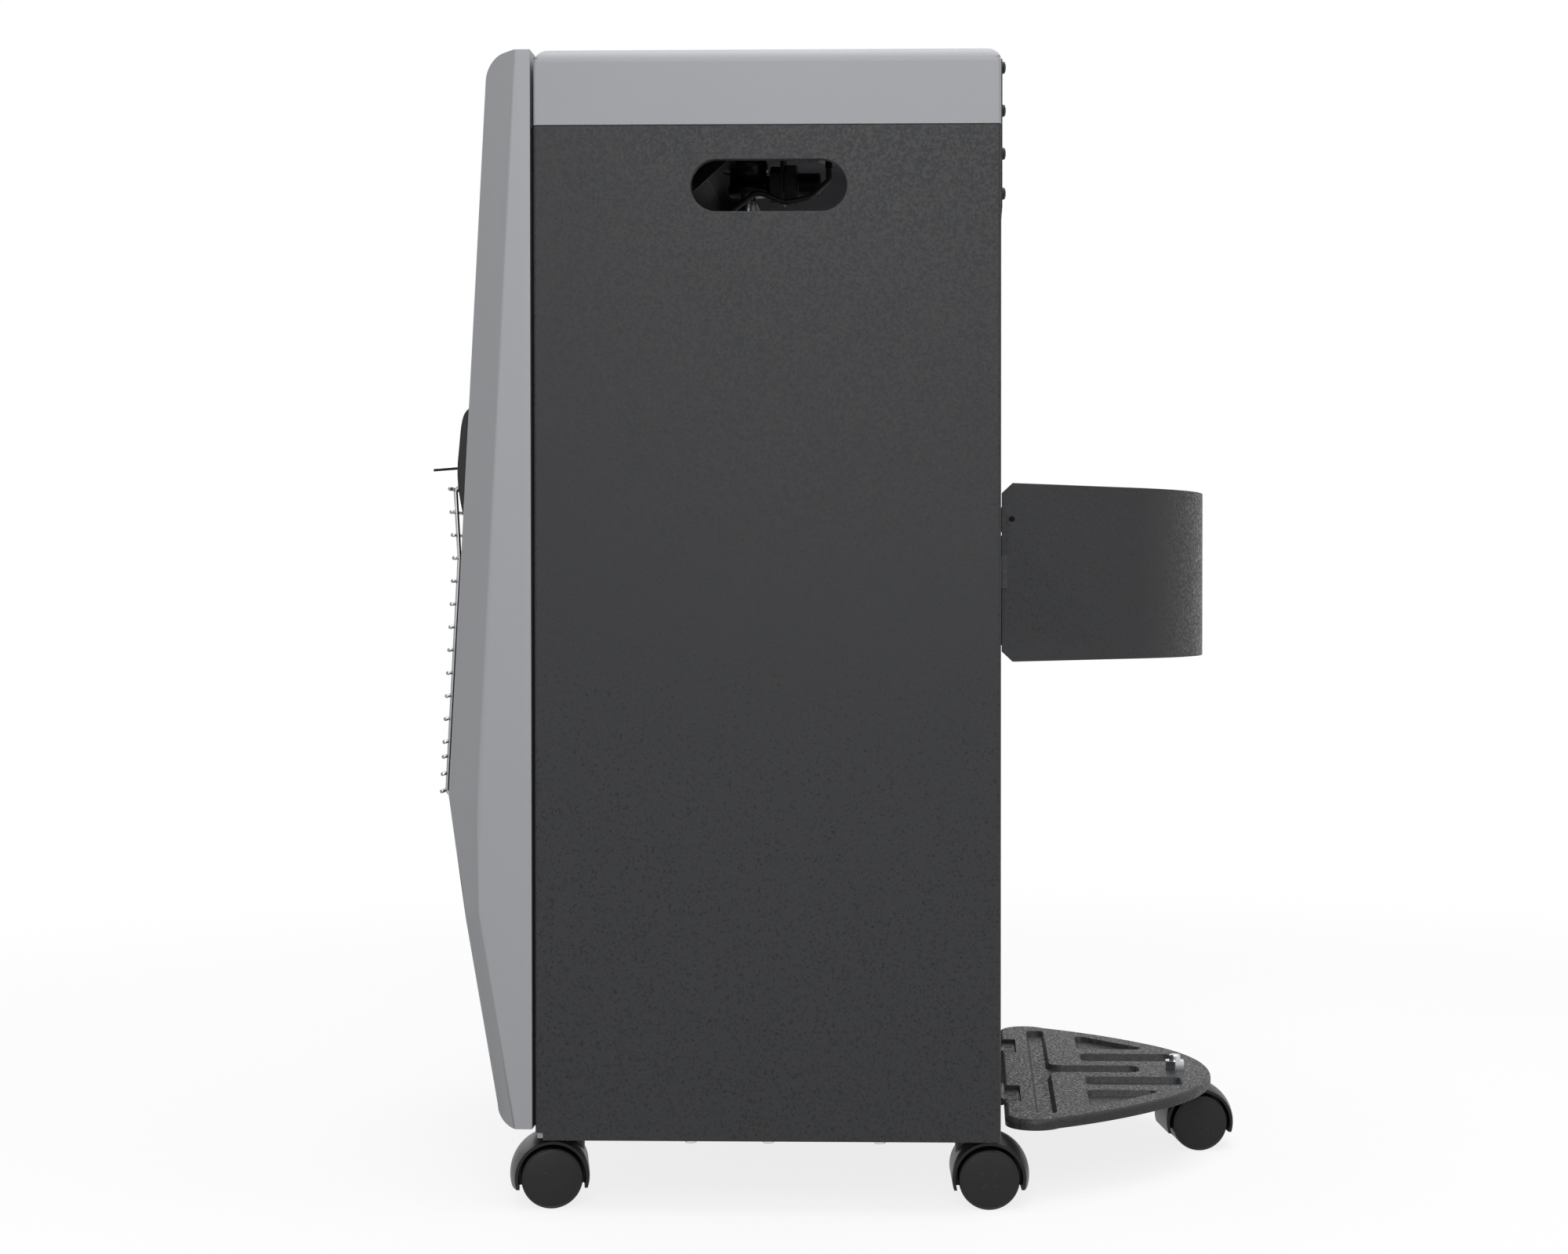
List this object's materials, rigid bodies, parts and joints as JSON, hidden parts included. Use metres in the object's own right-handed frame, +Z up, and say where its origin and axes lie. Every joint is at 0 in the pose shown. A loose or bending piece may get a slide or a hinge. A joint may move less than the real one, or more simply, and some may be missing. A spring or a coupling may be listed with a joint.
{
  "type": "mobile gas cabinet heater",
  "caption": "Upright cabinet heater on swivel casters with a caged radiant burner, a sloping front, an open bottle bay behind, a fold-out rear shelf and a lift-off strap.",
  "frame": {"origin": "on the floor under the middle of the whole heater's box, shelf folded out", "axes": "+Z up; -Y towards the burner side, +Y towards the shelf and strap; +X towards the side with the front at its left when seen from +X"},
  "size_m": [0.42, 0.5601, 0.75],
  "materials": {
    "charcoal_paint": "fine textured powder coat",
    "light_paint": "fine textured powder coat",
    "black_paint": "satin black",
    "zinc_plate": "bright zinc plating",
    "chrome_wire": "polished",
    "bright_sheet": "rolled bright steel",
    "aluminised_sheet": "dull aluminised steel",
    "plaque_ceramic": null,
    "brass": "turned",
    "copper_tube": "drawn tube",
    "black_plastic": "moulded",
    "grey_wheel": "moulded",
    "lead_insulation": "silicone sleeve",
    "white_ceramic": null,
    "seal_foam": "closed-cell strip"
  },
  "bodies": {
    "cabinet": {"side_panel_right": "charcoal_paint", "side_panel_left": "charcoal_paint", "base_plate": "light_paint", "top_cover": "light_paint", "rear_upper_panel": "charcoal_paint", "rear_panel_screws": "black_paint", "base_screws": "zinc_plate", "heat_shield": "aluminised_sheet", "cross_rail": "aluminised_sheet", "front_shell": "light_paint", "front_seal_strips": "seal_foam", "front_bezel": "black_paint", "deflector_visor": "bright_sheet", "wire_guard": "chrome_wire", "burner_reflector": "bright_sheet", "ceramic_plaques": "plaque_ceramic", "plaque_frame": "bright_sheet", "burner_body": "aluminised_sheet", "burner_manifold": "aluminised_sheet", "injectors": "brass", "valve_bracket": "black_paint", "gas_valve": "black_paint", "gas_inlet_fitting": "black_paint", "inlet_locknut": "black_paint", "burner_gas_pipe": "zinc_plate", "piezo_igniter": "black_plastic", "pilot_bracket": "zinc_plate", "pilot_burner": "brass", "ignition_electrode": "white_ceramic", "thermocouple": "copper_tube", "ignition_lead": "lead_insulation", "pilot_pipe": "copper_tube", "base_caster_stems": "zinc_plate", "base_caster_nuts": "zinc_plate", "hinge_base_leaves": "zinc_plate", "hinge_pins": "zinc_plate"},
    "rear_shelf": {"rear_shelf": "charcoal_paint", "hinge_shelf_leaves": "zinc_plate", "shelf_caster_stem": "zinc_plate", "shelf_caster_nut": "zinc_plate"},
    "bottle_strap": {"bottle_strap": "charcoal_paint"},
    "spindle": {"valve_spindle": "zinc_plate"},
    "knob": {"control_knob": "black_plastic"},
    "igniter_button": {"piezo_button": "black_plastic"},
    "front_right_caster": {"front_right_caster_hood": "black_plastic"},
    "front_right_wheels": {"front_right_caster_wheels": "grey_wheel", "front_right_caster_axle": "zinc_plate"},
    "front_left_caster": {"front_left_caster_hood": "black_plastic"},
    "front_left_wheels": {"front_left_caster_wheels": "grey_wheel", "front_left_caster_axle": "zinc_plate"},
    "rear_right_caster": {"rear_right_caster_hood": "black_plastic"},
    "rear_right_wheels": {"rear_right_caster_wheels": "grey_wheel", "rear_right_caster_axle": "zinc_plate"},
    "rear_left_caster": {"rear_left_caster_hood": "black_plastic"},
    "rear_left_wheels": {"rear_left_caster_wheels": "grey_wheel", "rear_left_caster_axle": "zinc_plate"},
    "shelf_caster": {"shelf_caster_hood": "black_plastic"},
    "shelf_wheels": {"shelf_caster_wheels": "grey_wheel", "shelf_caster_axle": "zinc_plate"}
  },
  "joints": [
    {"name": "shelf_fold", "type": "hinge", "parent": "cabinet", "child": "rear_shelf", "pos_m": [0, 0.11185, 0.0547], "axis": [1, 0, 0], "range_deg": [0, 90]},
    {"name": "strap_lift", "type": "slide", "parent": "cabinet", "child": "bottle_strap", "axis": [0, 0, 1], "range_m": [0, 0.012]},
    {"name": "knob_press", "type": "slide", "parent": "cabinet", "child": "spindle", "axis": [0, 0, -1], "range_m": [0, 0.004], "stiffness_N_per_m": 1500, "springref_m": -0.002},
    {"name": "knob_turn", "type": "hinge", "parent": "spindle", "child": "knob", "pos_m": [0.04, -0.0669, 0.735], "axis": [0, 0, 1], "range_deg": [0, 185]},
    {"name": "igniter_press", "type": "slide", "parent": "cabinet", "child": "igniter_button", "axis": [0, 0, -1], "range_m": [0, 0.004], "stiffness_N_per_m": 1500, "springref_m": -0.002},
    {"name": "front_right_swivel", "type": "hinge", "parent": "cabinet", "child": "front_right_caster", "pos_m": [0.1728, -0.1711, 0.0469], "axis": [0, 0, 1], "continuous": true},
    {"name": "front_right_roll", "type": "hinge", "parent": "front_right_caster", "child": "front_right_wheels", "pos_m": [0.17523, -0.18489, 0.02], "axis": [0.9848, 0.1736, 0], "continuous": true},
    {"name": "front_left_swivel", "type": "hinge", "parent": "cabinet", "child": "front_left_caster", "pos_m": [-0.1728, -0.1711, 0.0469], "axis": [0, 0, 1], "continuous": true},
    {"name": "front_left_roll", "type": "hinge", "parent": "front_left_caster", "child": "front_left_wheels", "pos_m": [-0.1728, -0.1851, 0.02], "axis": [1, 0, 0], "continuous": true},
    {"name": "rear_right_swivel", "type": "hinge", "parent": "cabinet", "child": "rear_right_caster", "pos_m": [0.1728, 0.0879, 0.0469], "axis": [0, 0, 1], "continuous": true},
    {"name": "rear_right_roll", "type": "hinge", "parent": "rear_right_caster", "child": "rear_right_wheels", "pos_m": [0.17207, 0.10188, 0.02], "axis": [0.9986, 0.0523, 0], "continuous": true},
    {"name": "rear_left_swivel", "type": "hinge", "parent": "cabinet", "child": "rear_left_caster", "pos_m": [-0.1728, 0.0879, 0.0469], "axis": [0, 0, 1], "continuous": true},
    {"name": "rear_left_roll", "type": "hinge", "parent": "rear_left_caster", "child": "rear_left_wheels", "pos_m": [-0.1728, 0.1019, 0.02], "axis": [1, 0, 0], "continuous": true},
    {"name": "shelf_swivel", "type": "hinge", "parent": "rear_shelf", "child": "shelf_caster", "pos_m": [0, 0.2387, 0.0469], "axis": [0, 0, 1], "continuous": true},
    {"name": "shelf_roll", "type": "hinge", "parent": "shelf_caster", "child": "shelf_wheels", "pos_m": [-0.00195, 0.25256, 0.02], "axis": [0.9903, 0.1392, 0], "continuous": true}
  ]
}
